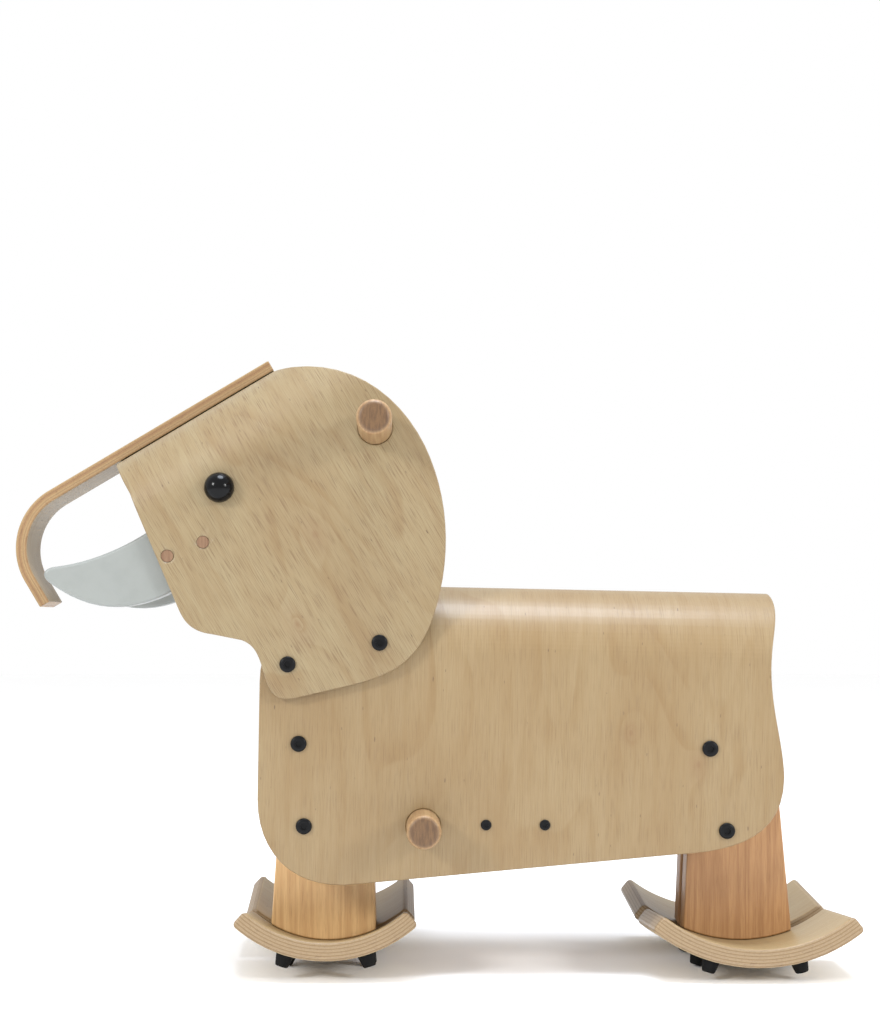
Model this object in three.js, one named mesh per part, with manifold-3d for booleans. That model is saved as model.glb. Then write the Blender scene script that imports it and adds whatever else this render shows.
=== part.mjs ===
// Ride-on rocking elephant in moulded plywood.
// Millimetres, +Z up. The head faces -X, the left side of the animal is -Y.
// The origin is on the floor, at the centre of the object's footprint.
import * as THREE from 'three';
import { mergeVertices } from 'three/addons/utils/BufferGeometryUtils.js';
import Module from 'manifold-3d';

const wasm = await Module();
wasm.setup();

// ---- driving dimensions -------------------------------------------------
const GAP = 0.3;                    // clearance between pieces that touch

const BODY_HALF_WIDTH = 85;         // outside of the saddle shell
const BODY_WALL = 8.5;
const BODY_BEND = 58;               // outer radius where the side turns into the seat
const BODY_TOP = 321;               // seat height at mid length
const BODY_TOP_X = 150;
const BODY_SLOPE = -1.2;            // degrees, the seat falls slightly to the rear

const HEAD_HALF_WIDTH = 94;
const HEAD_WALL = 8.5;
const HEAD_BEND = 56;
const CROWN_MID = [-195.8, 466.6];  // a point on the flat of the forehead, X and Z
const CROWN_SLOPE = 30.6;           // degrees

const TRUNK_WIDTH = 59;
const TRUNK_THICK = 9.5;
const TRUNK_BEND = 57;              // outer radius of the curl
const TRUNK_TOP = 78;               // along the forehead, from its mid point
const TRUNK_STRAIGHT = -140;        // where the curl starts, same measure
const TRUNK_CURL = 90;              // degrees turned
const TRUNK_TIP = 25;               // straight end after the curl
const SPACER_THICK = 2.4;
const SPACER_WIDTH = 55;

const TUSK_OUTER = 85;              // outer face of a tusk, from the mid plane
const TUSK_THICK = 24;

const HANDLE_AT = [-42.9, 453.2];
const HANDLE_LENGTH = 338;
const FOOTREST_AT = [-3.4, 126];
const FOOTREST_LENGTH = 260;
const BAR_RADIUS = 14;
const BAR_ROUNDING = 4;

const EYE_AT = [-170, 403.6];
const EYE_RADIUS = 12.6;
const EYE_STAND = 3.5;              // how far the ball's centre stands off the panel
const EYE_PIN = 3;

const PLUGS_AT = [[-212.8, 347.8], [-183.7, 359.2]];
const PLUG_RADIUS = 5;
const PLUG_DEPTH = 3;

const BOLT_HEAD_RADIUS = 6.6;
const BOLT_HEAD_HEIGHT = 2.8;
const BOLT_SHANK_RADIUS = 3;
const HEAD_BOLTS = { front: [-114.4, 259.3], rear: [-39.2, 277] };
const BODY_BOLTS = {
  front_upper: [-105.9, 193.8],
  front_lower: [-101.6, 126],
  rear_upper: [232.6, 189.7],
  rear_lower: [246.3, 122.2],
};
const HEAD_BOLT_SHANK = 24;
const BODY_BOLT_SHANK = 50;
const RAIL_SCREWS = { front: [48.3, 127], rear: [96.7, 127] };
const SCREW_HEAD_RADIUS = 4.4;
const SCREW_HEAD_HEIGHT = 1.6;
const SCREW_SHANK_RADIUS = 2;
const SCREW_SHANK = 22;
const RAIL = { x0: 28, x1: 117, z0: 112, z1: 142 };

const LEG_OUTER = 26;               // outer face of a leg board, from the mid plane
const LEG_THICK = 20;

const FOOT_WIDTH = 98;
const FOOT_THICK = 15;
const FOOT_INNER = 12;              // inner edge of a foot, from the mid plane
const BUMPER_INSET = 20;            // bumper row to the edge of the foot
const BUMPER_HEIGHT = 10;
const BUMPER_TOP_RADIUS = 7.4;
const BUMPER_TIP_RADIUS = 5.3;

// footRoll is in degrees: the outer edge of each foot is raised.
const ENDS = {
  front: {
    footX: -83.5, footRadius: 114, footHalfLength: 76, footRoll: 9, bumperAngle: 17,
    leg: [[-134.2, 12], [-128.4, 94], [-119, 200], [-112, 208], [-56, 208], [-48.5, 200], [-43.8, 70], [-42.6, 12]],
    block: [[-124, 100], [-124, 206], [-74, 206], [-74, 100]],
  },
  rear: {
    footX: 268.5, footRadius: 139, footHalfLength: 86.5, footRoll: 5, bumperAngle: 15,
    leg: [[219.6, 12], [223.4, 95], [228, 200], [236, 208], [284, 208], [295.5, 196], [302.8, 136.5], [314.6, 12]],
    block: [[212, 113], [212, 206], [258, 206], [258, 113]],
  },
};

const PLY = new THREE.MeshStandardMaterial({ color: 0xdcc39a, roughness: 0.55, metalness: 0 });
const LEG_WOOD = new THREE.MeshStandardMaterial({ color: 0xc4935f, roughness: 0.6, metalness: 0 });
const DOWEL_WOOD = new THREE.MeshStandardMaterial({ color: 0xb98c60, roughness: 0.55, metalness: 0 });
const FOOT_PLY = new THREE.MeshStandardMaterial({ color: 0xd8c09a, roughness: 0.6, metalness: 0 });
const LACQUER = new THREE.MeshStandardMaterial({ color: 0xc4c8c2, roughness: 0.4, metalness: 0 });
const BLACK_STEEL = new THREE.MeshStandardMaterial({ color: 0x0c0c0d, roughness: 0.4, metalness: 0.6 });
const BLACK_GLOSS = new THREE.MeshStandardMaterial({ color: 0x050505, roughness: 0.12, metalness: 0 });
const RUBBER = new THREE.MeshStandardMaterial({ color: 0x0b0b0b, roughness: 0.85, metalness: 0 });

const toy = new THREE.Group();
const radians = THREE.MathUtils.degToRad;

// ---- solids ---------------------------------------------------------------
function solid(geometry) {
  const bare = geometry.clone();
  bare.deleteAttribute('normal');
  bare.deleteAttribute('uv');
  const merged = mergeVertices(bare, 1e-4);
  const vertProperties = new Float32Array(merged.attributes.position.array);
  const triVerts = new Uint32Array(merged.index.array);
  return new wasm.Manifold(new wasm.Mesh({ numProp: 3, vertProperties, triVerts }));
}

function geometryOf(manifold) {
  const out = manifold.getMesh();
  const geometry = new THREE.BufferGeometry();
  geometry.setAttribute('position', new THREE.BufferAttribute(new Float32Array(out.vertProperties), 3));
  geometry.setIndex(new THREE.BufferAttribute(new Uint32Array(out.triVerts), 1));
  return geometry;
}

function add(name, geometry, material, parent = toy) {
  const mesh = new THREE.Mesh(geometry, material);
  mesh.name = name;
  parent.add(mesh);
  return mesh;
}

// An outline in X and Z, as a plate between two Y values.
function plate(shape, y0, y1, curveSegments = 16) {
  const geometry = new THREE.ExtrudeGeometry(shape, { depth: y1 - y0, bevelEnabled: false, curveSegments });
  const turn = new THREE.Matrix4().makeBasis(
    new THREE.Vector3(1, 0, 0), new THREE.Vector3(0, 0, 1), new THREE.Vector3(0, -1, 0));
  return geometry.applyMatrix4(turn).translate(0, y1, 0);
}

function polygon(points) {
  return new THREE.Shape(points.map(([x, z]) => new THREE.Vector2(x, z)));
}

function rectangle(x0, z0, x1, z1) {
  return polygon([[x0, z0], [x1, z0], [x1, z1], [x0, z1]]);
}

// A turned piece on the Y axis: profile of [radius, distance outward], side -1 or +1.
function turned(profile, side, segments) {
  const points = profile.map(([r, h]) => new THREE.Vector2(r, h));
  const geometry = new THREE.LatheGeometry(points, segments);
  return side > 0 ? geometry : geometry.rotateX(Math.PI);
}

// A round cutter along Y at [x, z].
function bore([x, z], radius, y0, y1, segments = 24) {
  const rod = new THREE.CylinderGeometry(radius, radius, y1 - y0, segments);
  return solid(rod.translate(x, (y0 + y1) / 2, z));
}

function boreBothSides(at, radius, yIn, yOut) {
  return bore(at, radius, yIn, yOut).add(bore(at, radius, -yOut, -yIn));
}

// ---- shells ---------------------------------------------------------------
// The cross-section of a bent panel: two legs down, a flat top at height 0.
function saddleSection(halfWidth, bend, drop) {
  const shape = new THREE.Shape();
  shape.moveTo(-halfWidth, -drop);
  shape.lineTo(halfWidth, -drop);
  shape.lineTo(halfWidth, -bend);
  shape.absarc(halfWidth - bend, -bend, bend, 0, Math.PI / 2, false);
  shape.lineTo(bend - halfWidth, 0);
  shape.absarc(bend - halfWidth, -bend, bend, Math.PI / 2, Math.PI, false);
  shape.closePath();
  return shape;
}

function saddle(halfWidth, wall, bend, drop, length, [x, z], slope) {
  const turn = new THREE.Matrix4().makeBasis(
    new THREE.Vector3(0, 1, 0), new THREE.Vector3(0, 0, 1), new THREE.Vector3(1, 0, 0));
  const place = new THREE.Matrix4().makeTranslation(x, 0, z)
    .multiply(new THREE.Matrix4().makeRotationY(-radians(slope)))
    .multiply(turn);
  const extruded = (section, from, depth) => new THREE.ExtrudeGeometry(
    section, { depth, bevelEnabled: false, curveSegments: 12 }).translate(0, 0, from).applyMatrix4(place);
  const outer = extruded(saddleSection(halfWidth, bend, drop), -length / 2, length);
  const hollow = saddleSection(halfWidth - wall, bend - wall, drop + 20);
  const inner = extruded(hollow, -length / 2 - 5, length + 10).translate(
    wall * Math.sin(radians(slope)), 0, -wall * Math.cos(radians(slope)));
  return solid(outer).subtract(solid(inner));
}

function bodyOutline() {
  const shape = new THREE.Shape();
  shape.moveTo(-47, 79.1);
  shape.lineTo(205.5, 102.6);
  shape.bezierCurveTo(254, 105, 293.5, 117, 293.8, 166);
  shape.bezierCurveTo(293, 195, 283.2, 220, 283.2, 255);
  shape.bezierCurveTo(283.2, 280, 291, 295, 291, 312);
  shape.lineTo(290, 345);
  shape.lineTo(-62, 345);
  shape.lineTo(-62, 322);
  shape.bezierCurveTo(-105, 310, -138, 285, -138, 245);
  shape.lineTo(-139.8, 148.1);
  shape.bezierCurveTo(-140, 105, -112, 76, -68.5, 77.4);
  shape.closePath();
  return shape;
}

function bodyShell() {
  const form = saddle(BODY_HALF_WIDTH, BODY_WALL, BODY_BEND, 300, 900, [BODY_TOP_X, BODY_TOP], BODY_SLOPE);
  let shell = form.intersect(solid(plate(bodyOutline(), -120, 120, 12)));
  const inside = BODY_HALF_WIDTH - BODY_WALL - 5;
  const outside = BODY_HALF_WIDTH + 5;
  for (const at of [...Object.values(BODY_BOLTS), ...Object.values(HEAD_BOLTS)]) {
    shell = shell.subtract(boreBothSides(at, BOLT_SHANK_RADIUS + GAP, inside, outside));
  }
  for (const at of Object.values(RAIL_SCREWS)) {
    shell = shell.subtract(boreBothSides(at, SCREW_SHANK_RADIUS + GAP, inside, outside));
  }
  shell = shell.subtract(boreBothSides(FOOTREST_AT, BAR_RADIUS + GAP, inside, outside));
  add('body_shell', geometryOf(shell), PLY);
}

function headOutline() {
  const shape = new THREE.Shape();
  shape.moveTo(-262, 428);
  shape.lineTo(-244, 399);
  shape.lineTo(-203.5, 304);
  shape.bezierCurveTo(-198, 291, -190, 285.5, -176, 283.8);
  shape.lineTo(-152, 279);
  shape.bezierCurveTo(-141, 275, -138, 266, -134.5, 254);
  shape.bezierCurveTo(-129, 234, -124, 228, -106, 232.2);
  shape.lineTo(-59.5, 243);
  shape.bezierCurveTo(-20, 253, -4, 268, 7.5, 307);
  shape.bezierCurveTo(20, 352, 17, 398, -2, 438);
  shape.bezierCurveTo(-25, 484, -67, 511, -128, 505.5);
  shape.lineTo(-150, 560);
  shape.lineTo(-300, 470);
  shape.closePath();
  return shape;
}

function headShell() {
  const form = saddle(HEAD_HALF_WIDTH, HEAD_WALL, HEAD_BEND, 330, 900, CROWN_MID, CROWN_SLOPE);
  let shell = form.intersect(solid(plate(headOutline(), -130, 130, 12)));
  const inside = HEAD_HALF_WIDTH - HEAD_WALL - 5;
  const outside = HEAD_HALF_WIDTH + 5;
  for (const at of Object.values(HEAD_BOLTS)) {
    shell = shell.subtract(boreBothSides(at, BOLT_SHANK_RADIUS + GAP, inside, outside));
  }
  shell = shell.subtract(boreBothSides(HANDLE_AT, BAR_RADIUS + GAP, inside, outside));
  shell = shell.subtract(boreBothSides(EYE_AT, EYE_PIN + GAP, inside, outside));
  for (const at of PLUGS_AT) {
    const floor = HEAD_HALF_WIDTH - PLUG_DEPTH - GAP;
    shell = shell.subtract(boreBothSides(at, PLUG_RADIUS + GAP, floor, outside));
  }
  add('head_shell', geometryOf(shell), PLY);
}

// ---- trunk ------------------------------------------------------------------
// Along and above the forehead: u runs up the crown from its mid point, v is square to it.
function trunk() {
  const under = SPACER_THICK + 2 * GAP;
  const over = under + TRUNK_THICK;
  const inner = TRUNK_BEND - TRUNK_THICK;
  const centre = [TRUNK_STRAIGHT, over - TRUNK_BEND];
  const end = Math.PI / 2 + radians(TRUNK_CURL);
  const heading = [-Math.sin(end), Math.cos(end)];
  const rim = (r) => [centre[0] + r * Math.cos(end), centre[1] + r * Math.sin(end)];
  const tip = (r) => rim(r).map((value, i) => value + TRUNK_TIP * heading[i]);
  const shape = new THREE.Shape();
  shape.moveTo(TRUNK_TOP, under);
  shape.lineTo(TRUNK_TOP, over);
  shape.lineTo(centre[0], over);
  shape.absarc(centre[0], centre[1], TRUNK_BEND, Math.PI / 2, end, false);
  shape.lineTo(...tip(TRUNK_BEND));
  shape.lineTo(...tip(inner));
  shape.lineTo(...rim(inner));
  shape.absarc(centre[0], centre[1], inner, end, Math.PI / 2, true);
  shape.closePath();
  const strip = plate(shape, -TRUNK_WIDTH / 2, TRUNK_WIDTH / 2, 24);
  const spacer = plate(rectangle(-74, GAP, TRUNK_TOP - 1, GAP + SPACER_THICK), -SPACER_WIDTH / 2, SPACER_WIDTH / 2);
  for (const [name, geometry, material] of [['trunk', strip, PLY], ['trunk_spacer', spacer, BLACK_STEEL]]) {
    geometry.rotateY(-radians(CROWN_SLOPE)).translate(CROWN_MID[0], 0, CROWN_MID[1]);
    add(name, geometry, material);
  }
}

// ---- tusks, eyes and wood plugs ---------------------------------------------
function tuskOutline() {
  const shape = new THREE.Shape();
  shape.moveTo(-172, 340);
  shape.lineTo(-181, 376);
  shape.lineTo(-226, 371);
  shape.bezierCurveTo(-246, 357, -276, 343, -306, 339.5);
  shape.bezierCurveTo(-317, 338.5, -318.5, 332, -311, 326);
  shape.bezierCurveTo(-277, 301, -247, 302, -216, 316);
  shape.closePath();
  return shape;
}

function tusks() {
  const inner = TUSK_OUTER - TUSK_THICK;
  add('tusk_left', plate(tuskOutline(), -TUSK_OUTER, -inner, 12), LACQUER);
  add('tusk_right', plate(tuskOutline(), inner, TUSK_OUTER, 12), LACQUER);
}

function eye(name, side) {
  const profile = [[0, -HEAD_WALL + 1], [EYE_PIN, -HEAD_WALL + 1], [EYE_PIN, GAP]];
  const start = Math.asin((EYE_STAND - GAP) / EYE_RADIUS);
  const steps = 8;
  for (let i = 0; i <= steps; i += 1) {
    const angle = -start + (Math.PI / 2 + start) * (i / steps);
    const r = i === steps ? 0 : EYE_RADIUS * Math.cos(angle);
    profile.push([r, EYE_STAND + EYE_RADIUS * Math.sin(angle)]);
  }
  add(name, turned(profile, side, 18), BLACK_GLOSS)
    .position.set(EYE_AT[0], side * HEAD_HALF_WIDTH, EYE_AT[1]);
}

function plug(name, side, [x, z]) {
  const profile = [[0, 0], [PLUG_RADIUS, 0], [PLUG_RADIUS, PLUG_DEPTH - 0.4], [PLUG_RADIUS - 0.4, PLUG_DEPTH], [0, PLUG_DEPTH]];
  add(name, turned(profile, side, 16), DOWEL_WOOD)
    .position.set(x, side * (HEAD_HALF_WIDTH - PLUG_DEPTH), z);
}

// ---- bars and fasteners -------------------------------------------------------
function bar(name, [x, z], length) {
  const half = length / 2;
  const flat = BAR_RADIUS - BAR_ROUNDING;
  const round = (sign) => [0, 1, 2].map((i) => {
    const angle = (Math.PI / 4) * i;
    return [flat + BAR_ROUNDING * Math.sin(angle), sign * (half - BAR_ROUNDING + BAR_ROUNDING * Math.cos(angle))];
  });
  const profile = [[0, -half], ...round(-1), ...round(1).reverse(), [0, half]];
  add(name, turned(profile, 1, 24), DOWEL_WOOD).position.set(x, 0, z);
}

// A round-headed fastener whose head bears on a panel at the given half width.
function fastener(name, side, [x, z], seat, size) {
  const { headRadius, headHeight, shankRadius, shank, socket } = size;
  const profile = [
    [0, -shank],
    [shankRadius, -shank],
    [shankRadius, 0],
    [headRadius, 0],
    [headRadius, headHeight * 0.55],
    [headRadius * 0.76, headHeight],
    [socket, headHeight],
    [socket, headHeight * 0.35],
    [0, headHeight * 0.35],
  ];
  add(name, turned(profile, side, 12), BLACK_STEEL).position.set(x, side * (seat + GAP), z);
}

function fasteners() {
  const bolt = (shank) => ({
    headRadius: BOLT_HEAD_RADIUS, headHeight: BOLT_HEAD_HEIGHT, shankRadius: BOLT_SHANK_RADIUS, shank, socket: 2.3,
  });
  const screw = {
    headRadius: SCREW_HEAD_RADIUS, headHeight: SCREW_HEAD_HEIGHT, shankRadius: SCREW_SHANK_RADIUS,
    shank: SCREW_SHANK, socket: 1.4,
  };
  for (const [sideName, side] of [['left', -1], ['right', 1]]) {
    for (const [place, at] of Object.entries(HEAD_BOLTS)) {
      fastener(`head_bolt_${place}_${sideName}`, side, at, HEAD_HALF_WIDTH, bolt(HEAD_BOLT_SHANK));
    }
    for (const [place, at] of Object.entries(BODY_BOLTS)) {
      fastener(`body_bolt_${place}_${sideName}`, side, at, BODY_HALF_WIDTH, bolt(BODY_BOLT_SHANK));
    }
    for (const [place, at] of Object.entries(RAIL_SCREWS)) {
      fastener(`rail_screw_${place}_${sideName}`, side, at, BODY_HALF_WIDTH, screw);
    }
  }
}

function crossRail() {
  const half = BODY_HALF_WIDTH - BODY_WALL - GAP;
  let rail = solid(plate(rectangle(RAIL.x0, RAIL.z0, RAIL.x1, RAIL.z1), -half, half));
  for (const at of Object.values(RAIL_SCREWS)) {
    rail = rail.subtract(boreBothSides(at, SCREW_SHANK_RADIUS + GAP, BODY_HALF_WIDTH - SCREW_SHANK - 1, 90));
  }
  add('cross_rail', geometryOf(rail), LEG_WOOD);
}

// ---- legs and feet --------------------------------------------------------------
// A foot's own frame: origin under the middle of its arc, on the inner bumper row.
function footPlace(end, side) {
  const rubber = end.footRadius + GAP + BUMPER_HEIGHT;
  const angle = radians(end.bumperAngle);
  const lowest = rubber * Math.cos(angle) - end.footRadius + BUMPER_TIP_RADIUS * Math.sin(angle);
  const roll = radians(end.footRoll);
  const lift = lowest * Math.cos(roll) + BUMPER_TIP_RADIUS * Math.sin(roll);
  return new THREE.Matrix4().makeTranslation(end.footX, side * (FOOT_INNER + BUMPER_INSET), lift)
    .multiply(new THREE.Matrix4().makeRotationX(side * roll));
}

// The plate's section: two arcs about one centre, with ends cut square to the arc.
function footSection(end, thick) {
  const outer = end.footRadius;
  const inner = outer - thick;
  const half = Math.asin(end.footHalfLength / outer);
  const shape = new THREE.Shape();
  shape.absarc(0, outer, outer, -Math.PI / 2 - half, -Math.PI / 2 + half, false);
  shape.absarc(0, outer, inner, -Math.PI / 2 + half, -Math.PI / 2 - half, true);
  shape.closePath();
  return shape;
}

// Everything under the plate's upper face, used to cut the leg to sit on it.
function underFoot(end, place) {
  const upper = end.footRadius - FOOT_THICK - GAP;
  const reach = radians(70);
  const side = upper * Math.sin(reach);
  const shape = new THREE.Shape();
  shape.moveTo(-side, -60);
  shape.lineTo(side, -60);
  shape.absarc(0, end.footRadius, upper, -Math.PI / 2 + reach, -Math.PI / 2 - reach, true);
  shape.closePath();
  const half = FOOT_WIDTH * 1.5;
  return solid(plate(shape, -half, half, 40).applyMatrix4(place));
}

function foot(endName, end, sideName, side) {
  const place = footPlace(end, side);
  const y0 = side > 0 ? -BUMPER_INSET : BUMPER_INSET - FOOT_WIDTH;
  const section = footSection(end, FOOT_THICK);
  add(`foot_${endName}_${sideName}`, plate(section, y0, y0 + FOOT_WIDTH, 20).applyMatrix4(place), FOOT_PLY);
  const rows = { inner: 0, outer: side * (FOOT_WIDTH - 2 * BUMPER_INSET) };
  for (const [row, y] of Object.entries(rows)) {
    for (const [toe, sign] of [['toe', -1], ['heel', 1]]) {
      bumper(`bumper_${endName}_${sideName}_${row}_${toe}`, end, y, sign * radians(end.bumperAngle), place);
    }
  }
}

function bumper(name, end, y, angle, place) {
  const profile = [
    [0, -GAP],
    [BUMPER_TOP_RADIUS, -GAP],
    [BUMPER_TIP_RADIUS, -GAP - BUMPER_HEIGHT],
    [0, -GAP - BUMPER_HEIGHT],
  ].reverse();
  const geometry = new THREE.LatheGeometry(profile.map(([r, h]) => new THREE.Vector2(r, h)), 12);
  geometry.rotateX(Math.PI / 2);
  geometry.translate(0, 0, -end.footRadius);
  geometry.rotateY(-angle);
  geometry.translate(0, y, end.footRadius);
  add(name, geometry.applyMatrix4(place), RUBBER);
}

function leg(endName, end, sideName, side) {
  const faces = [side * LEG_OUTER, side * (LEG_OUTER - LEG_THICK)].sort((a, b) => a - b);
  const board = solid(plate(polygon(end.leg), ...faces));
  const cut = board.subtract(underFoot(end, footPlace(end, side)));
  add(`leg_${endName}_${sideName}`, geometryOf(cut), LEG_WOOD);
}

function legBlock(endName, end, sideName, side) {
  const near = LEG_OUTER + GAP;
  const far = BODY_HALF_WIDTH - BODY_WALL - GAP;
  const faces = [side * near, side * far].sort((a, b) => a - b);
  let block = solid(plate(polygon(end.block), ...faces));
  const tip = BODY_HALF_WIDTH - BODY_BOLT_SHANK - 1;
  for (const [place, at] of Object.entries(BODY_BOLTS)) {
    if (place.startsWith(endName)) {
      block = block.subtract(boreBothSides(at, BOLT_SHANK_RADIUS + GAP, tip, 90));
    }
  }
  add(`leg_block_${endName}_${sideName}`, geometryOf(block), LEG_WOOD);
}

// ---- assembly ---------------------------------------------------------------------
bodyShell();
headShell();
trunk();
tusks();
bar('handle_bar', HANDLE_AT, HANDLE_LENGTH);
bar('footrest_bar', FOOTREST_AT, FOOTREST_LENGTH);
for (const [sideName, side] of [['left', -1], ['right', 1]]) {
  eye(`eye_${sideName}`, side);
  plug(`wood_plug_front_${sideName}`, side, PLUGS_AT[0]);
  plug(`wood_plug_rear_${sideName}`, side, PLUGS_AT[1]);
  for (const [endName, end] of Object.entries(ENDS)) {
    leg(endName, end, sideName, side);
    legBlock(endName, end, sideName, side);
    foot(endName, end, sideName, side);
  }
}
fasteners();
crossRail();

const extent = new THREE.Box3().setFromObject(toy);
toy.position.set(-(extent.min.x + extent.max.x) / 2, 0, -extent.min.z);

export default toy;
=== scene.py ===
"""Ride-on rocking elephant in moulded plywood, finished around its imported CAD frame."""
import math

import bmesh
import bpy
from mathutils import Matrix, Vector


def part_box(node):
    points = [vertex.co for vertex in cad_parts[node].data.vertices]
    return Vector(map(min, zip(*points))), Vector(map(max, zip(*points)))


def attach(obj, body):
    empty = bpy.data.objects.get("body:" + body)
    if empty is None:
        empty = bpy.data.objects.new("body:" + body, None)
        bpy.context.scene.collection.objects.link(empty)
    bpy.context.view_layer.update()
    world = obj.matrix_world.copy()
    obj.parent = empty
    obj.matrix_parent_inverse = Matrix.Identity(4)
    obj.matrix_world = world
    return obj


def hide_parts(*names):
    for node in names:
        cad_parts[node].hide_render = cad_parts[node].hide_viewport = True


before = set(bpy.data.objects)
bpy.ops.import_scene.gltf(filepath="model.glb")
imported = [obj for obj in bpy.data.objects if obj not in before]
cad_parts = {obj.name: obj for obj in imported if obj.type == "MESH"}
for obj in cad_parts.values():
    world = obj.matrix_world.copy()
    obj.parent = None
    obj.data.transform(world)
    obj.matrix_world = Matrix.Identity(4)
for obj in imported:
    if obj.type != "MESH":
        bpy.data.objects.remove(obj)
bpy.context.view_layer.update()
MM = 0.001

# ---- driving dimensions, as in the CAD --------------------------------------------
WALL = 8.5 * MM
BODY_BEND = 58 * MM
BODY_SLOPE = math.radians(-1.2)
HEAD_BEND = 56 * MM
CROWN_SLOPE = math.radians(30.6)
TRUNK_BEND = 57 * MM
TRUNK_THICK = 9.5 * MM
TRUNK_OVER = TRUNK_THICK + 3.0 * MM     # the trunk's upper face above the forehead
TRUNK_START = -140 * MM          # where the curl starts, along the forehead from its mid point
TRUNK_CURL_LENGTH = math.radians(90) * TRUNK_BEND
FOOT_THICK = 15 * MM
CAMERA_HEIGHT = 0.295
CAMERA_DISTANCE = 1.525


def centre(node):
    low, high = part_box(node)
    return (Vector(low) + Vector(high)) / 2


HANDLE_X, HANDLE_Z = -42.9 * MM, 453.2 * MM     # the handle bar before the object is centred on its origin
SHIFT = centre("handle_bar").x - HANDLE_X
LIFT = centre("handle_bar").z - HANDLE_Z
BODY_MID = Vector((0.15 + SHIFT, 0, 0.321 + LIFT))          # on the crown of each shell
HEAD_MID = Vector((-0.1958 + SHIFT, 0, 0.4666 + LIFT))


def bore_places():
    """Side views (x, z, radius) of the small bores: their edges lie under the parts that fill them."""
    fillers = ("rail_screw", "wood_plug", "eye_")
    names = [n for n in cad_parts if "_bolt_" in n or n.startswith(fillers)]
    return [(centre(n).x, centre(n).z, (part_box(n)[1][0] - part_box(n)[0][0]) / 2 + 1.0 * MM) for n in names]


BORES = bore_places()


# ---- shader building ----------------------------------------------------------------
def colour(r, g, b):
    """An sRGB colour of 0 to 255 as a linear one."""
    def linear(c):
        c /= 255
        return c / 12.92 if c <= 0.04045 else ((c + 0.055) / 1.055) ** 2.4
    return (linear(r), linear(g), linear(b), 1.0)


class Shader:
    """A material under construction, with short calls for its nodes."""

    def __init__(self, name, roughness=0.5, coat=0.0, specular=0.5):
        self.material = bpy.data.materials.new(name)
        self.material.use_nodes = True
        self.tree = self.material.node_tree
        self.surface = self.tree.nodes["Principled BSDF"]
        self.surface.inputs["Roughness"].default_value = roughness
        self.surface.inputs["Specular IOR Level"].default_value = specular
        self.surface.inputs["Coat Weight"].default_value = coat
        self.surface.inputs["Coat Roughness"].default_value = 0.25

    def set(self, socket, value):
        if isinstance(value, bpy.types.NodeSocket):
            self.tree.links.new(value, socket)
        elif value is not None:
            socket.default_value = value

    def node(self, kind, **inputs):
        made = self.tree.nodes.new(kind)
        for key, value in inputs.items():
            self.set(made.inputs[key.replace("_", " ")], value)
        return made

    def math(self, operation, a, b=None):
        made = self.tree.nodes.new("ShaderNodeMath")
        made.operation = operation
        for socket, value in zip(made.inputs, (a, b)):
            self.set(socket, value)
        return made.outputs[0]

    def times(self, a, b):
        return self.math("MULTIPLY", a, b)

    def scaled(self, vector, factors):
        made = self.tree.nodes.new("ShaderNodeVectorMath")
        made.operation = "MULTIPLY"
        self.set(made.inputs[0], vector)
        self.set(made.inputs[1], factors)
        return made.outputs[0]

    def split(self, vector):
        return self.node("ShaderNodeSeparateXYZ", Vector=vector).outputs

    def noise(self, vector, scale=1.0, detail=3.0, roughness=0.55, distortion=0.0):
        made = self.node("ShaderNodeTexNoise", Vector=vector, Scale=scale, Detail=detail,
                         Roughness=roughness, Distortion=distortion)
        return made.outputs["Fac"]

    def band(self, value, low, high):
        """0 at low, 1 at high, smooth between."""
        made = self.tree.nodes.new("ShaderNodeMapRange")
        made.interpolation_type = "SMOOTHSTEP"
        for key, number in (("Value", value), ("From Min", low), ("From Max", high)):
            self.set(made.inputs[key], number)
        return made.outputs["Result"]

    def fade(self, value, low, high):
        """1 at low, 0 at high, smooth between."""
        return self.math("SUBTRACT", 1.0, self.band(value, low, high))

    def mix(self, amount, a, b):
        made = self.tree.nodes.new("ShaderNodeMix")
        made.data_type = "RGBA"
        self.set(made.inputs["Factor"], amount)
        for socket, value in ((made.inputs[6], a), (made.inputs[7], b)):
            self.set(socket, value)
        return made.outputs[2]

    def bump(self, height, distance, strength=1.0):
        made = self.node("ShaderNodeBump", Height=height, Distance=distance, Strength=strength)
        self.tree.links.new(made.outputs["Normal"], self.surface.inputs["Normal"])

    def done(self, base, roughness=None):
        self.set(self.surface.inputs["Base Color"], base)
        self.set(self.surface.inputs["Roughness"], roughness)
        return self.material


# Features of a veneer per metre, along the grain and across it.
RING_HILLS = (2.0, 8.5, 0)
RING_GAPS = (9.0, 60.0, 0)
FIBRES = (26.0, 1500.0, 0)
STREAKS = (3.5, 170.0, 0)
CLOUDS = (6.0, 14.0, 0)
PORES = (48.0, 1500.0, 0)
PORE_PATCHES = (12.0, 18.0, 0)
FLECKS = (120.0, 700.0, 7.0)
RING_COUNT = 13.0               # rings from the bottom of a hill to its top


def knot_rings(s, along, across, knots):
    """Rings added around each knot (along, across, size), and the knots' own darkness."""
    rings = 0.0
    spots = 0.0
    for u, v, size in knots:
        du = s.times(s.math("SUBTRACT", along, u), 0.6)
        dv = s.math("SUBTRACT", across, v)
        r = s.math("SQRT", s.math("ADD", s.times(du, du), s.times(dv, dv)))
        rings = s.math("ADD", rings, s.math("DIVIDE", size * 4.0, s.math("ADD", r, size * 1.2)))
        halo = s.times(s.fade(r, size * 0.6, size * 3.2), 0.45)
        heart = s.fade(r, size * 0.15, size * 0.9)
        spots = s.math("MAXIMUM", spots, s.math("MAXIMUM", halo, heart))
    return rings, spots


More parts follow.
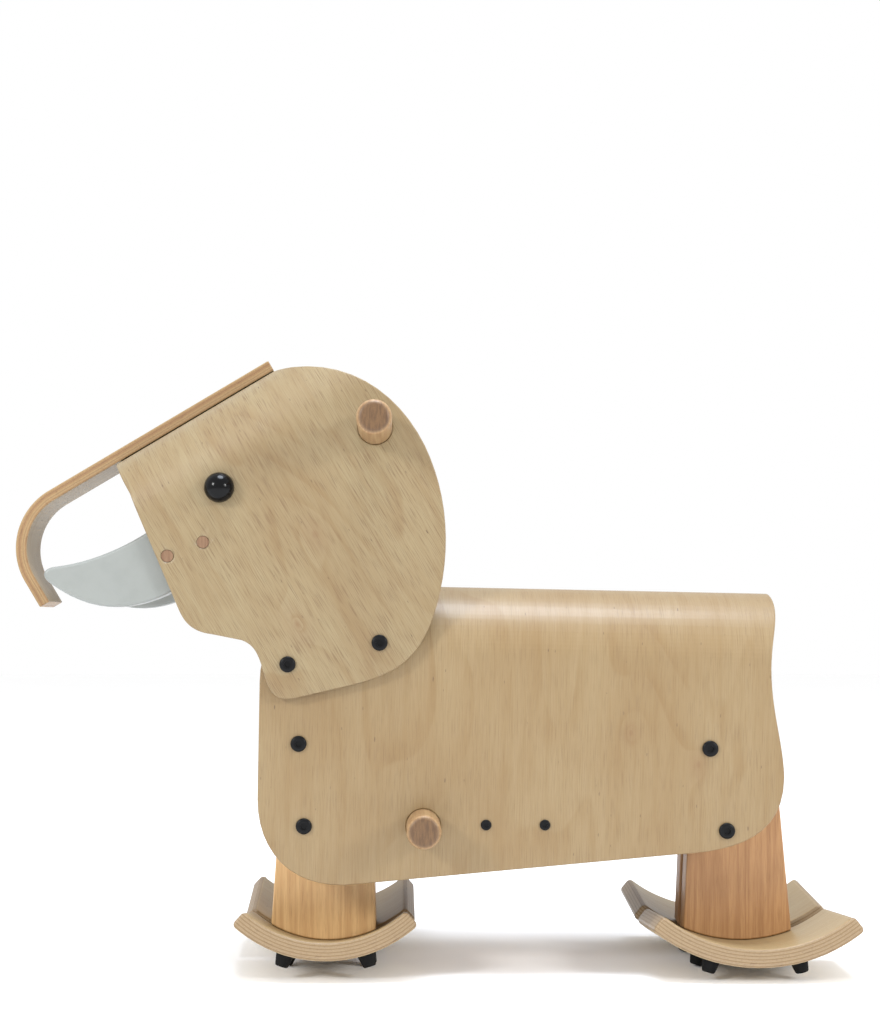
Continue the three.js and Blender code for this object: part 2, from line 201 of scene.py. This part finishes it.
def veneer(name, pale, dark, plies, knots=(), figure=0.2, dashes=0.25, ply_count=7, thickness=WALL):
    """Rotary-cut veneer on the faces and glued plies on the edges.

    The "grain" attribute holds metres along the grain, metres across it, and depth below the face.
    figure is the strength of the growth rings, dashes that of the fine open pores."""
    s = Shader(name, coat=0.2)
    grain = s.node("ShaderNodeAttribute")
    grain.attribute_name = "grain"
    place = grain.outputs["Vector"]
    along, across, depth = s.split(place)
    flat = s.node("ShaderNodeCombineXYZ", X=along, Y=across).outputs[0]
    hill = s.noise(s.scaled(flat, RING_HILLS), detail=1.0, roughness=0.4, distortion=0.25)
    extra_rings, spots = knot_rings(s, along, across, knots)
    rings = s.math("FRACT", s.math("ADD", s.times(hill, RING_COUNT), extra_rings))
    ring_line = s.times(s.band(rings, 0.45, 0.93), s.fade(rings, 0.93, 1.0))
    breakup = s.band(s.noise(s.scaled(flat, RING_GAPS), detail=3.0), 0.35, 0.65)
    fibre = s.noise(s.scaled(flat, FIBRES), detail=3.0, roughness=0.6)
    streak = s.noise(s.scaled(flat, STREAKS), detail=5.0, roughness=0.6)
    cloud = s.noise(s.scaled(flat, CLOUDS), detail=4.0)
    pore = s.band(s.noise(s.scaled(flat, PORES), detail=3.0), 0.48, 0.7)
    patches = s.band(s.noise(s.scaled(flat, PORE_PATCHES), detail=2.0), 0.25, 0.62)
    pore = s.times(pore, s.math("ADD", 0.4, s.times(patches, 0.6)))
    fleck = s.band(s.noise(s.scaled(flat, FLECKS), detail=0.0), 0.845, 0.87)
    base = s.mix(s.band(cloud, 0.32, 0.72), pale, s.mix(0.5, pale, dark))
    base = s.mix(s.times(s.times(ring_line, breakup), figure), base, dark)
    base = s.mix(s.times(s.band(streak, 0.42, 0.72), 0.28), base, dark)
    base = s.mix(s.times(s.band(fibre, 0.42, 0.7), 0.4), base, dark)
    base = s.mix(s.times(pore, dashes), base, colour(85, 54, 26))
    base = s.mix(s.times(fleck, 0.85), base, colour(70, 48, 32))
    base = s.mix(s.times(spots, 0.38), base, colour(105, 66, 34))
    edge, glue, on_edge = ply_edge(s, place, depth, plies, ply_count, thickness)
    base = s.mix(on_edge, base, edge)
    relief = s.math("ADD", s.times(fibre, 0.6), s.times(streak, 0.4))
    relief = s.math("SUBTRACT", relief, s.times(pore, 0.7))
    relief = s.math("SUBTRACT", relief, s.times(s.times(glue, on_edge), 0.7))
    s.bump(relief, 0.00012, 0.55)
    return s.done(base, s.math("ADD", 0.44, s.times(streak, 0.14)))


def ply_edge(s, place, depth, plies, ply_count, thickness):
    """One ply runs along the grain and the next across it, with a dark glue line between."""
    layer = s.times(depth, ply_count / thickness)
    wobble = s.math("SUBTRACT", s.noise(place, scale=60.0, detail=2.0), 0.5)
    layer = s.math("ADD", layer, s.times(wobble, 0.3))
    cross = s.band(s.math("PINGPONG", layer, 1.0), 0.38, 0.62)
    near_line = s.math("ABSOLUTE", s.math("SUBTRACT", s.math("FRACT", s.math("ADD", layer, 0.5)), 0.5))
    glue = s.fade(near_line, 0.02, 0.14)
    end_grain = s.noise(s.scaled(place, (700.0, 700.0, 1500.0)), detail=3.0)
    gaps = s.band(s.noise(s.scaled(place, (90.0, 90.0, 500.0)), detail=2.0), 0.6, 0.7)
    edge = s.mix(cross, plies[0], plies[1])
    edge = s.mix(s.times(glue, 0.5), edge, plies[2])
    edge = s.mix(s.times(s.band(end_grain, 0.45, 0.75), 0.3), edge, plies[2])
    edge = s.mix(s.times(s.times(gaps, cross), 0.5), edge, plies[2])
    inward = s.band(depth, 0.25 * MM, 0.55 * MM)
    outward = s.fade(depth, thickness - 0.55 * MM, thickness - 0.25 * MM)
    return edge, glue, s.times(inward, outward)


def solid_wood(name, pale, dark, grain_axis, fineness=1.0, rings=16.0):
    """Sawn or turned wood, with its grain along one axis of the object."""
    s = Shader(name, coat=0.08)
    where = s.node("ShaderNodeTexCoord").outputs["Object"]
    stretch = [1.0, 1.0, 1.0]
    stretch[grain_axis] = 0.035
    coords = s.scaled(where, stretch)
    hill = s.noise(coords, scale=26.0 * fineness, detail=2.0, distortion=0.3)
    ring = s.math("PINGPONG", s.times(hill, rings), 0.5)
    ring = s.band(ring, 0.12, 0.5)
    streak = s.noise(coords, scale=240.0 * fineness, detail=5.0, roughness=0.65)
    fibre = s.noise(coords, scale=1100.0 * fineness, detail=3.0, roughness=0.6)
    pore = s.band(s.noise(coords, scale=1700.0 * fineness, detail=1.0), 0.62, 0.7)
    base = s.mix(s.times(ring, 0.42), pale, dark)
    base = s.mix(s.times(s.band(streak, 0.42, 0.72), 0.45), base, dark)
    base = s.mix(s.times(s.band(fibre, 0.42, 0.68), 0.4), base, dark)
    base = s.mix(s.times(pore, 0.2), base, colour(96, 58, 30))
    s.bump(s.math("SUBTRACT", s.times(fibre, 0.6), s.times(pore, 0.6)), 0.00015, 0.6)
    return s.done(base, s.math("ADD", 0.44, s.times(streak, 0.15)))


def dowel_wood(name, side, end):
    """Straight-grained dowel with darker end grain."""
    s = Shader(name, 0.5, coat=0.06)
    where = s.node("ShaderNodeTexCoord").outputs["Object"]
    along_grain = s.noise(s.scaled(where, (420.0, 14.0, 420.0)), detail=4.0, roughness=0.6)
    growth = s.noise(s.scaled(where, (520.0, 8.0, 90.0)), detail=3.0, roughness=0.6, distortion=0.1)
    pore = s.noise(s.scaled(where, (1500.0, 1500.0, 1500.0)), detail=1.0)
    normal_y = s.split(s.node("ShaderNodeNewGeometry").outputs["True Normal"])[1]
    on_end = s.band(s.math("ABSOLUTE", normal_y), 0.6, 0.98)
    flank = s.mix(s.times(s.band(along_grain, 0.35, 0.7), 0.6), side[0], side[1])
    flank = s.mix(s.times(s.band(growth, 0.4, 0.7), 0.4), flank, side[1])
    face = s.mix(s.band(growth, 0.35, 0.68), end[0], end[1])
    face = s.mix(s.times(s.band(pore, 0.55, 0.7), 0.35), face, end[1])
    s.bump(s.math("ADD", along_grain, s.times(pore, 0.5)), 0.0001, 0.5)
    return s.done(s.mix(on_end, flank, face), s.math("ADD", 0.44, s.times(pore, 0.14)))


def lacquered(name):
    """Sprayed satin lacquer with the faint orange peel that spraying leaves."""
    s = Shader(name, 0.42, coat=0.1)
    where = s.node("ShaderNodeTexCoord").outputs["Object"]
    peel = s.noise(where, scale=520.0, detail=2.0)
    cloud = s.noise(where, scale=30.0, detail=3.0)
    base = s.mix(s.band(cloud, 0.35, 0.7), colour(131, 134, 130), colour(125, 128, 124))
    s.bump(peel, 0.00008, 0.5)
    return s.done(base, s.math("ADD", 0.36, s.times(cloud, 0.12)))


def black_finish(name, tone, roughness, grain_scale, depth, specular):
    """A black surface: tone varies a little, and fine grain breaks up its gloss."""
    s = Shader(name, roughness, specular=specular)
    where = s.node("ShaderNodeTexCoord").outputs["Object"]
    grain = s.noise(where, scale=grain_scale, detail=4.0)
    cloud = s.noise(where, scale=90.0, detail=2.0)
    base = s.mix(cloud, colour(*tone), colour(*(c + 10 for c in tone)))
    s.bump(grain, depth, 0.5)
    return s.done(base, s.math("ADD", roughness - 0.05, s.times(grain, 0.12)))


def floor_paint():
    s = Shader("studio_floor", 0.9, specular=0.1)
    where = s.node("ShaderNodeTexCoord").outputs["Object"]
    base = s.mix(s.noise(where, scale=4.0), colour(252, 252, 252), colour(254, 254, 254))
    return s.done(base)


# ---- meshes -------------------------------------------------------------------------------
def piece_from(bm, name, material, nodes):
    mesh = bpy.data.meshes.new(name)
    bmesh.ops.recalc_face_normals(bm, faces=bm.faces)
    bm.to_mesh(mesh)
    bm.free()
    mesh.shade_smooth()
    mesh.set_sharp_from_angle(angle=math.radians(28))
    mesh.materials.append(material)
    piece = bpy.data.objects.new(name, mesh)
    bpy.context.scene.collection.objects.link(piece)
    even = piece.modifiers.new("even_shading", "WEIGHTED_NORMAL")
    even.keep_sharp = True
    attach(piece, "root")
    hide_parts(*nodes)
    return piece


def node_mesh(node):
    """A working copy of a CAD node's mesh, with its flat faces made whole."""
    bm = bmesh.new()
    bm.from_mesh(bpy.data.objects[node].data)
    bmesh.ops.remove_doubles(bm, verts=bm.verts, dist=0.25 * MM)
    bmesh.ops.dissolve_degenerate(bm, dist=0.1 * MM, edges=bm.edges)
    bmesh.ops.dissolve_limit(bm, angle_limit=math.radians(0.6), verts=bm.verts, edges=bm.edges)
    return bm


def clear_of_bores(edge):
    place = edge.verts[0].co
    return all(math.hypot(place.x - x, place.z - z) > r for x, z, r in BORES)


def round_edges(bm, width, segments):
    limit = math.radians(25)
    slivers = {f for f in bm.faces if f.calc_area() < 1e-4 * f.calc_perimeter() ** 2}
    edges = [e for e in bm.edges if len(e.link_faces) == 2 and e.calc_face_angle() > limit
             and not slivers.intersection(e.link_faces) and clear_of_bores(e)]
    bmesh.ops.bevel(bm, geom=edges, offset=width, offset_type="OFFSET", segments=segments, profile=0.5,
                    affect="EDGES", clamp_overlap=False)
    bmesh.ops.remove_doubles(bm, verts=bm.verts, dist=0.02 * MM)


def slice_up(bm, step):
    """Cut the mesh into small faces, so that the grain places stay true across wide flat ones."""
    bmesh.ops.triangulate(bm, faces=[f for f in bm.faces if len(f.verts) > 4])
    points = [v.co.copy() for v in bm.verts]
    for axis in range(3):
        normal = Vector((0, 0, 0))
        normal[axis] = 1.0
        low = min(p[axis] for p in points)
        high = max(p[axis] for p in points)
        count = int((high - low) / step)
        for k in range(1, count):
            cut = normal * (low + (high - low) * (k + 0.013) / count)
            bmesh.ops.bisect_plane(bm, geom=bm.verts[:] + bm.edges[:] + bm.faces[:], dist=1e-6,
                                   plane_co=cut, plane_no=normal)


def write_grain(piece, rule):
    """Store where each point lies in the wood: along the grain, across it, and under the face."""
    grain = piece.data.attributes.new("grain", "FLOAT_VECTOR", "POINT")
    for vertex, item in zip(piece.data.vertices, grain.data):
        item.vector = rule(vertex.co)


def round_corners(bm, direction, width):
    """Round only the sharp edges that run in one direction."""
    edges = [e for e in bm.edges if len(e.link_faces) == 2 and e.calc_face_angle() > math.radians(60)
             and abs((e.verts[0].co - e.verts[1].co).normalized().dot(direction)) > 0.99]
    bmesh.ops.bevel(bm, geom=edges, offset=width, offset_type="OFFSET", segments=5, profile=0.5,
                    affect="EDGES")


def from_node(node, material, width, segments=3, rule=None, corners=None):
    bm = node_mesh(node)
    if corners:
        round_corners(bm, *corners)
    round_edges(bm, width, segments)
    if rule:
        slice_up(bm, 11 * MM)
    piece = piece_from(bm, node + "_form", material, [node])
    if rule:
        write_grain(piece, rule)
    return piece


def turned(name, origin, axis, profile, material, nodes, segments=48, socket=0.0):
    """A turned piece: profile of (radius, distance along axis) from origin.

    Past the middle of the profile, circles no wider than socket become hexagons."""
    bm = bmesh.new()
    angles = [2 * math.pi * i / segments for i in range(segments)]
    rings = []
    for step, (radius, along) in enumerate(profile):
        if radius == 0:
            rings.append([bm.verts.new((0, 0, along))])
            continue
        ring = []
        for a in angles:
            r = radius
            if radius <= socket and step > len(profile) / 2:
                r = radius * math.cos(math.pi / 6) / math.cos(a % (math.pi / 3) - math.pi / 6)
            ring.append(bm.verts.new((r * math.cos(a), r * math.sin(a), along)))
        rings.append(ring)
    for first, second in zip(rings, rings[1:]):
        for i in range(segments):
            j = (i + 1) % segments
            corners = [first[i % len(first)], first[j % len(first)],
                       second[j % len(second)], second[i % len(second)]]
            unique = list(dict.fromkeys(corners))
            if len(unique) > 2:
                bm.faces.new(unique)
    turn = Vector((0, 0, 1)).rotation_difference(Vector(axis)).to_matrix().to_4x4()
    bm.transform(Matrix.Translation(origin) @ turn)
    return piece_from(bm, name, material, nodes)


def arc(cr, ch, radius, start, end, steps=6):
    """Points of a rounded corner, as (radius, distance) pairs; angles in degrees."""
    angles = [math.radians(start + (end - start) * i / steps) for i in range(steps + 1)]
    return [(cr + radius * math.cos(a), ch + radius * math.sin(a)) for a in angles]


# ---- wood frames ---------------------------------------------------------------------------
def saddle_rule(half, bend, mid, slope):
    """Grain places on a bent panel: it runs down one side, over the crown and down the other."""
    a = Vector((math.cos(slope), 0, math.sin(slope)))
    n = Vector((-math.sin(slope), 0, math.cos(slope)))
    flat = half - bend

    def rule(p):
        rel = p - mid
        v, h, y = rel.dot(a), rel.dot(n), abs(p.y)
        if h < -bend:
            u, d = flat + bend * math.pi / 2 - bend - h, half - y
        elif y < flat:
            u, d = y, -h
        else:
            u, d = flat + bend * math.atan2(y - flat, h + bend), bend - math.hypot(y - flat, h + bend)
        return (math.copysign(u, p.y), v, d)
    return rule


def trunk_rule(mid, over, start, centre_w):
    a = Vector((math.cos(CROWN_SLOPE), 0, math.sin(CROWN_SLOPE)))
    n = Vector((-math.sin(CROWN_SLOPE), 0, math.cos(CROWN_SLOPE)))

    def rule(p):
        rel = p - mid
        u, w = rel.dot(a), rel.dot(n)
        if u > start:
            return (u, p.y + 0.3, over - w)
        angle = math.atan2(start - u, w - centre_w)
        if w > centre_w:
            return (start - angle * TRUNK_BEND, p.y + 0.3, TRUNK_BEND - math.hypot(start - u, w - centre_w))
        return (start - TRUNK_CURL_LENGTH + w - centre_w, p.y + 0.3, TRUNK_BEND - (start - u))
    return rule


def ring_centres(node):
    """The middles of a buffer's upper and lower ends, and their radii."""
    points = [v.co.copy() for v in bpy.data.objects[node].data.vertices]
    middle = centre(node).z
    ends = []
    for group in ([p for p in points if p.z > middle], [p for p in points if p.z <= middle]):
        middle_point = sum(group, Vector()) / len(group)
        ends.append((middle_point, max((p - middle_point).length for p in group)))
    return ends


def foot_rule(end, side):
    """Grain places on a curved foot, worked out from the buffers that stand square to it."""
    name = f"bumper_{end}_{side}"
    (toe, _), (toe_tip, _) = ring_centres(name + "_inner_toe")
    (heel, _), (heel_tip, _) = ring_centres(name + "_inner_heel")
    (outer, _), _ = ring_centres(name + "_outer_toe")
    up = ((toe - toe_tip).normalized() + (heel - heel_tip).normalized()).normalized()
    along = (heel - toe).normalized()
    across = (outer - toe).normalized()
    lean = (toe - toe_tip).normalized().angle(up)
    axis = (toe + heel) / 2 + up * ((heel - toe).length / 2 / math.tan(lean))
    radius = (toe - axis).length - 0.3 * MM

    def rule(p):
        rel = p - axis
        x, z = rel.dot(along), rel.dot(up)
        return (radius * math.atan2(x, -z), rel.dot(across), radius - math.hypot(x, z))
    return rule, across


# ---- sub-parts -----------------------------------------------------------------------------
def shells():
    plies = (colour(153, 129, 92), colour(121, 89, 54), colour(80, 52, 27))
    body_knots = ((-0.203, 0.076, 0.004), (-0.178, 0.02, 0.003), (-0.33, -0.2, 0.003), (0.24, -0.08, 0.004))
    head_knots = ((-0.266, -0.012, 0.006), (-0.21, 0.038, 0.005), (0.2, 0.03, 0.005))
    body_ply = veneer("birch_veneer_body", colour(136, 116, 82), colour(121, 94, 54), plies, body_knots,
                      figure=0.5, dashes=0.3)
    head_ply = veneer("birch_veneer_head", colour(138, 123, 91), colour(119, 94, 58), plies, head_knots,
                      figure=0.5, dashes=0.62)
    for node, ply, bend, mid, slope in (("body_shell", body_ply, BODY_BEND, BODY_MID, BODY_SLOPE),
                                        ("head_shell", head_ply, HEAD_BEND, HEAD_MID, CROWN_SLOPE)):
        half_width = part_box(node)[1][1]
        from_node(node, ply, 0.9 * MM, rule=saddle_rule(half_width, bend, mid, slope))


def trunk():
    plies = (colour(147, 119, 79), colour(136, 104, 66), colour(98, 65, 36))
    ply = veneer("birch_veneer_trunk", colour(152, 136, 106), colour(133, 109, 75), plies,
                 thickness=TRUNK_THICK, figure=0.2, dashes=0.3, ply_count=3)
    from_node("trunk", ply, 0.8 * MM,
              rule=trunk_rule(HEAD_MID, TRUNK_OVER, TRUNK_START, TRUNK_OVER - TRUNK_BEND))


def feet():
    plies = (colour(145, 124, 94), colour(130, 106, 73), colour(85, 59, 34))
    ply = veneer("birch_veneer_feet", colour(162, 143, 106), colour(149, 122, 81), plies,
                 thickness=FOOT_THICK, figure=0.2, dashes=0.2, ply_count=11)
    for end in ("front", "rear"):
        for side in ("left", "right"):
            rule, across = foot_rule(end, side)
            from_node(f"foot_{end}_{side}", ply, 2.0 * MM, 4, rule, (across, 4.0 * MM))


def boards():
    # Front and rear legs are one wood: the front legs' paler colour is painted light, the rear legs' darker
    # colour painted shade from under the body
    front = solid_wood("leg_wood_painted_lit_front", colour(209, 172, 120), colour(176, 132, 83), 2, rings=12.0)
    rear = solid_wood("leg_wood_painted_shade_rear", colour(170, 128, 83), colour(132, 89, 50), 2, rings=12.0)
    across = solid_wood("rail_hardwood", colour(186, 149, 103), colour(155, 108, 66), 1)
    for end, legs in (("front", front), ("rear", rear)):
        for side in ("left", "right"):
            from_node(f"leg_{end}_{side}", legs, 1.6 * MM, 4)
            from_node(f"leg_block_{end}_{side}", legs, 1.2 * MM)
    from_node("cross_rail", across, 1.2 * MM)


def tusks():
    paint = lacquered("tusk_lacquer")
    for side in ("left", "right"):
        from_node(f"tusk_{side}", paint, 2.6 * MM, 5)


def bars():
    """Turned dowels with rounded ends."""
    wood = dowel_wood("dowel_beech", (colour(155, 126, 88), colour(127, 91, 57)),
                      (colour(101, 73, 43), colour(80, 55, 30)))
    for node, rounding in (("handle_bar", 5.0 * MM), ("footrest_bar", 5.0 * MM)):
        low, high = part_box(node)
        middle = centre(node)
        radius = (high[0] - low[0]) / 2
        half = high[1]
        one_end = [(0, half)] + arc(radius - rounding, half - rounding, rounding, 90, 0, 8)
        profile = one_end + [(r, -h) for r, h in reversed(one_end)]
        turned(node + "_form", middle, (0, 1, 0), profile, wood, [node], 64)


def eyes():
    gloss = black_finish("eye_gloss", (3, 3, 4), 0.14, 300.0, 0.00001, specular=0.16)
    for side, sign in (("left", -1), ("right", 1)):
        low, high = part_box(f"eye_{side}")
        middle = centre(f"eye_{side}")
        radius = (high[0] - low[0]) / 2
        peak = max(abs(low[1]), abs(high[1]))
        ball = peak - radius
        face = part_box("head_shell")[1][1] + 0.3 * MM
        start = -math.degrees(math.asin((ball - face) / radius))
        profile = [(0, face - ball)] + arc(0, 0, radius, start, 90, 24)[:-1] + [(0, radius)]
        turned(f"eye_{side}_form", Vector((middle.x, sign * ball, middle.z)), (0, sign, 0), profile, gloss,
               [f"eye_{side}"], 64)


def plugs():
    wood = solid_wood("plug_cherry", colour(124, 95, 69), colour(95, 62, 39), 2, fineness=1.5)
    for side, sign in (("left", -1), ("right", 1)):
        for place in ("front", "rear"):
            node = f"wood_plug_{place}_{side}"
            low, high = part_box(node)
            middle = centre(node)
            radius = (high[0] - low[0]) / 2
            top = (high[1] - low[1]) / 2
            soft = 0.4 * MM
            profile = [(0, -top), (radius, -top)] + arc(radius - soft, top - soft, soft, 0, 90, 4)
            turned(node + "_form", middle, (0, sign, 0), profile + [(0, top)], wood, [node], 40)


def fasteners():
    steel = black_finish("black_oxide_steel", (9, 9, 10), 0.34, 900.0, 0.00002, specular=0.14)
    for node in [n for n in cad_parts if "_bolt_" in n or n.startswith("rail_screw")]:
        fastener(node, steel)


def fastener(node, steel):
    """A button head with a hexagon socket, over a plain shank."""
    low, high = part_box(node)
    middle = centre(node)
    sign = 1 if middle.y > 0 else -1
    radius = (high[0] - low[0]) / 2
    outer = max(abs(low[1]), abs(high[1]))
    inner = min(abs(low[1]), abs(high[1]))
    big = radius > 5 * MM
    height = (2.8 if big else 1.6) * MM
    seat = outer - height
    rim = height * 0.45
    shank = radius * 0.45
    socket = radius * 0.46
    dome = [(radius - (radius - socket * 1.25) * (1 - math.cos(a)),
             seat + rim + (height - rim) * math.sin(a)) for a in (math.pi / 2 * i / 6 for i in range(7))]
    profile = [(0, inner), (shank, inner), (shank, seat)]
    profile += [(radius - 0.3 * MM, seat), (radius, seat + 0.3 * MM)] + dome
    profile += [(socket, outer - 0.15 * MM), (socket, outer - height * 0.7), (0, outer - height * 0.75)]
    turned(node + "_form", Vector((middle.x, 0, middle.z)), (0, sign, 0), profile, steel,
           [node], 48, socket)


def buffers():
    rubber = black_finish("moulded_rubber", (11, 11, 11), 0.75, 1400.0, 0.00005, specular=0.15)
    for node in [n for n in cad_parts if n.startswith("bumper_")]:
        (top, wide), (tip, narrow) = ring_centres(node)
        length = (top - tip).length
        soft = 1.1 * MM
        slope = (wide - narrow) / length
        profile = [(0, 0), (wide, 0), (narrow + slope * soft, length - soft)]
        profile += arc(narrow - soft, length - soft, soft, 10, 90, 5) + [(0, length)]
        turned(node + "_form", top, tip - top, profile, rubber, [node], 40)


def spacer():
    foam = black_finish("spacer_rubber", (8, 8, 8), 0.8, 1200.0, 0.00005, specular=0.1)
    from_node("trunk_spacer", foam, 0.4 * MM, 2)


# ---- studio ---------------------------------------------------------------------------------
def studio():
    bm = bmesh.new()
    bmesh.ops.create_grid(bm, x_segments=4, y_segments=4, size=8)
    mesh = bpy.data.meshes.new("floor")
    bm.to_mesh(mesh)
    bm.free()
    floor = bpy.data.objects.new("floor", mesh)
    mesh.materials.append(floor_paint())
    bpy.context.scene.collection.objects.link(floor)
    world = bpy.data.worlds.new("studio")
    world.use_nodes = True
    world.node_tree.nodes["Background"].inputs["Color"].default_value = (1, 1, 1, 1)
    world.node_tree.nodes["Background"].inputs["Strength"].default_value = 1.0
    bpy.context.scene.world = world
    bpy.context.scene.view_settings.view_transform = "Standard"
    area_light("key_left", (-1.5, -1.5, 1.15), 0.5, 24)
    area_light("key_right", (1.6, -1.4, 1.0), 0.5, 20)
    area_light("top", (0.1, -0.3, 2.2), 1.0, 42, (0.92, 1.0, 1.13))


def area_light(name, place, size, power, tint=(1.0, 1.0, 1.0)):
    data = bpy.data.lights.new(name, "AREA")
    data.color = tint
    data.shape = "DISK"
    data.size = size
    data.energy = power
    light = bpy.data.objects.new(name, data)
    light.location = place
    aim = Vector((0, 0, 0.25)) - Vector(place)
    light.rotation_euler = aim.to_track_quat("-Z", "Y").to_euler()
    bpy.context.scene.collection.objects.link(light)


def camera():
    """Level camera square to the animal's left side."""
    data = bpy.data.cameras.new("camera")
    data.sensor_fit = "VERTICAL"
    data.sensor_height = 24
    data.lens = 41.2
    data.shift_x = 0.044
    data.shift_y = 0.108
    view = bpy.data.objects.new("camera", data)
    view.location = (SHIFT - 26.5 * MM, -CAMERA_DISTANCE, CAMERA_HEIGHT)
    view.rotation_euler = (math.pi / 2, 0, 0)
    bpy.context.scene.collection.objects.link(view)
    bpy.context.scene.camera = view


camera()
studio()
shells()
trunk()
spacer()
tusks()
bars()
eyes()
plugs()
fasteners()
boards()
feet()
buffers()
